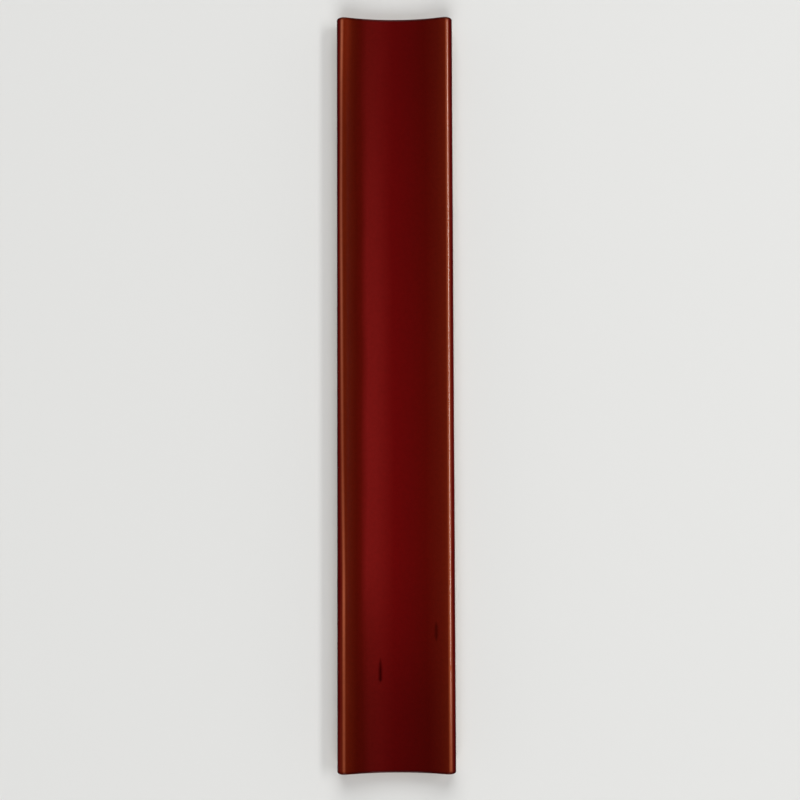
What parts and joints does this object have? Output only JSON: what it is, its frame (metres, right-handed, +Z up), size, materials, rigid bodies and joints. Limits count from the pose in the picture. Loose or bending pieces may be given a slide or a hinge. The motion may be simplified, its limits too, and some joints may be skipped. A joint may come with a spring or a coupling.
{
  "type": "concave ceramic wall tile",
  "caption": "Long narrow ceramic wall tile whose glazed face is one shallow lengthwise flute between two rounded ridges, with keying grooves in its flat back for adhesive.",
  "frame": {"origin": "middle of the tile's footprint, in the plane of the flat lands of its back", "axes": "+X across the width, +Y along the length and the flute, +Z up out of the glazed face; the tile lies on its back"},
  "size_m": [0.0466, 0.3, 0.01],
  "materials": {
    "red_glaze": "gloss"
  },
  "bodies": {
    "root": {"tile": "red_glaze"}
  },
  "joints": []
}
